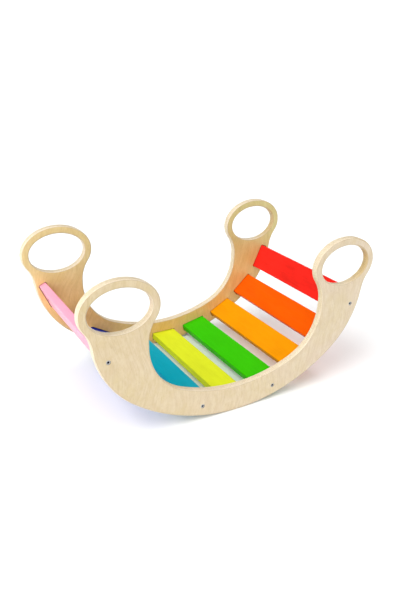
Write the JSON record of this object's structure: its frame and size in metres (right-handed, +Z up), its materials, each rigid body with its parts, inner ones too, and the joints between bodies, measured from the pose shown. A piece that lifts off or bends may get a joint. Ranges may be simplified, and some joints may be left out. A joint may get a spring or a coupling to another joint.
{
  "type": "rocker seesaw",
  "caption": "Child's wooden rocker seesaw: two curved plywood sides with oval ring handles, joined by painted rainbow slats that bolts and barrel nuts pull tight.",
  "frame": {"origin": "on the floor under the middle of the rocker, where both curved edges touch it", "axes": "+X along the rocking direction towards the red end, +Y across from the front side to the rear side, +Z up"},
  "size_m": [0.784, 0.422, 0.3942],
  "materials": {
    "birch_plywood": "clear satin lacquer",
    "pink_paint": "satin paint on planed pine",
    "purple_paint": "satin paint on planed pine",
    "blue_paint": "satin paint on planed pine",
    "teal_paint": "satin paint on planed pine",
    "yellow_paint": "satin paint on planed pine",
    "green_paint": "satin paint on planed pine",
    "orange_paint": "satin paint on planed pine",
    "dark_orange_paint": "satin paint on planed pine",
    "red_paint": "satin paint on planed pine",
    "zinc_plated_steel": "zinc plated"
  },
  "bodies": {
    "root": {"front_rocker_side": "birch_plywood", "rear_rocker_side": "birch_plywood", "pink_slat": "pink_paint", "purple_slat": "purple_paint", "blue_slat": "blue_paint", "teal_slat": "teal_paint", "yellow_slat": "yellow_paint", "green_slat": "green_paint", "orange_slat": "orange_paint", "dark_orange_slat": "dark_orange_paint", "red_slat": "red_paint", "front_pink_bolt": "zinc_plated_steel", "front_pink_barrel_nut": "zinc_plated_steel", "front_teal_bolt": "zinc_plated_steel", "front_teal_barrel_nut": "zinc_plated_steel", "front_green_bolt": "zinc_plated_steel", "front_green_barrel_nut": "zinc_plated_steel", "front_red_bolt": "zinc_plated_steel", "front_red_barrel_nut": "zinc_plated_steel", "rear_pink_bolt": "zinc_plated_steel", "rear_pink_barrel_nut": "zinc_plated_steel", "rear_teal_bolt": "zinc_plated_steel", "rear_teal_barrel_nut": "zinc_plated_steel", "rear_green_bolt": "zinc_plated_steel", "rear_green_barrel_nut": "zinc_plated_steel", "rear_red_bolt": "zinc_plated_steel", "rear_red_barrel_nut": "zinc_plated_steel"}
  },
  "joints": []
}
